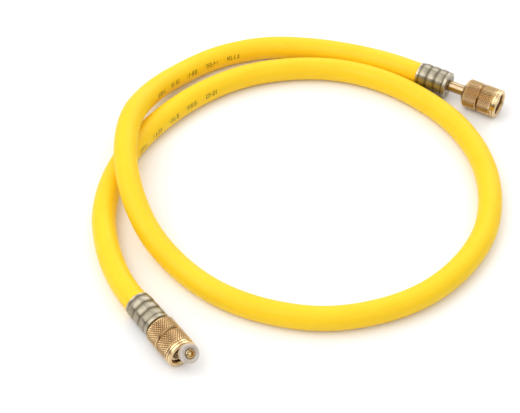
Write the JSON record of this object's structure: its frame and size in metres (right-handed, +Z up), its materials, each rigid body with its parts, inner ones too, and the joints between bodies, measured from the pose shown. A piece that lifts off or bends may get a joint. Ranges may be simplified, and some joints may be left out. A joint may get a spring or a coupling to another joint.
{
  "type": "refrigerant charging hose",
  "caption": "Flexible yellow service hose lying in a loose loop, with a crimped ferrule, a stem and a knurled swivel nut on each end, one end bent with a core depressor.",
  "frame": {"origin": "on the floor, at the middle of the box round the two end fittings, inside the hose's loop", "axes": "+X along the straight fitting, out of its nut; +Z up from the floor that the hose lies on"},
  "size_m": [0.2149, 0.2511, 0.0261],
  "materials": {
    "yellow_rubber": "smooth satin extruded cover",
    "plated_steel": "bright plated, crimped",
    "stem_brass": "drawn, reddish",
    "white_nylon": "translucent white",
    "depressor_brass": "turned",
    "knurled_brass": "turned, with diamond knurled bands"
  },
  "bodies": {
    "hose_assembly": {"hose": "yellow_rubber", "ferrule_a": "plated_steel", "ferrule_b": "plated_steel", "stem_a": "stem_brass", "stem_b": "stem_brass", "gasket_a": "white_nylon", "gasket_b": "white_nylon", "depressor": "depressor_brass"},
    "nut_a": {"nut_a": "knurled_brass"},
    "nut_b": {"nut_b": "knurled_brass"}
  },
  "joints": [
    {"name": "nut_a_turn", "type": "hinge", "parent": "hose_assembly", "child": "nut_a", "pos_m": [-0.01992, -0.11404, 0.008], "axis": [0.9135, -0.4067, 0], "continuous": true},
    {"name": "nut_b_turn", "type": "hinge", "parent": "hose_assembly", "child": "nut_b", "pos_m": [0.039, 0.1175, 0.008], "axis": [1, 0, 0], "continuous": true}
  ]
}
